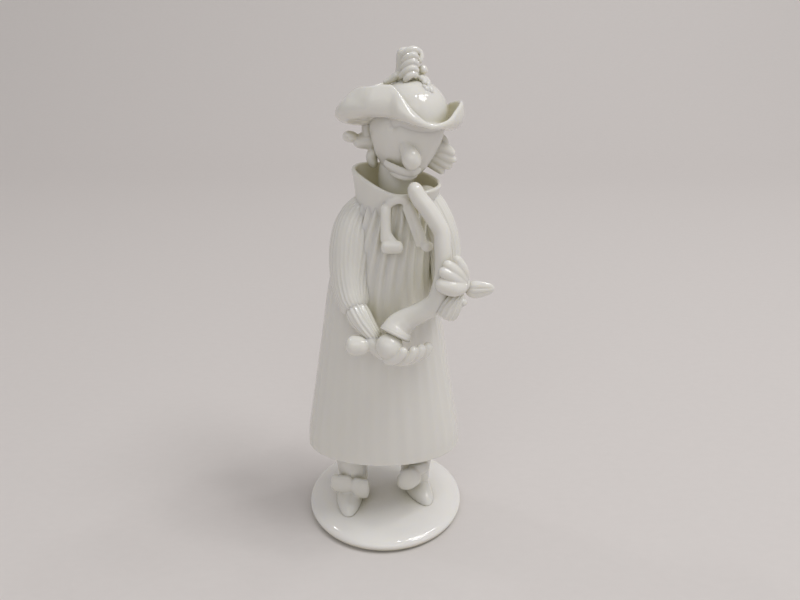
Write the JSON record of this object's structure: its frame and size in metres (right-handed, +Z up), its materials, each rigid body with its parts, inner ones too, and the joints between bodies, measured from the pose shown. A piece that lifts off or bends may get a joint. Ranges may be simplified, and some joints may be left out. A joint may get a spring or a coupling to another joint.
{
  "type": "glass figurine",
  "caption": "Opal glass figurine of a costumed horn player in a long ribbed coat and three-cornered hat, standing on a round disc.",
  "frame": {"origin": "centre of the disc's flat underside", "axes": "+Z up, the figure faces -Y, +X towards the viewer's right"},
  "size_m": [0.1199, 0.1188, 0.319],
  "materials": {
    "opal_glass": "glossy"
  },
  "bodies": {
    "root": {"base_disc": "opal_glass", "lower_figure": "opal_glass", "upper_figure": "opal_glass"}
  },
  "joints": []
}
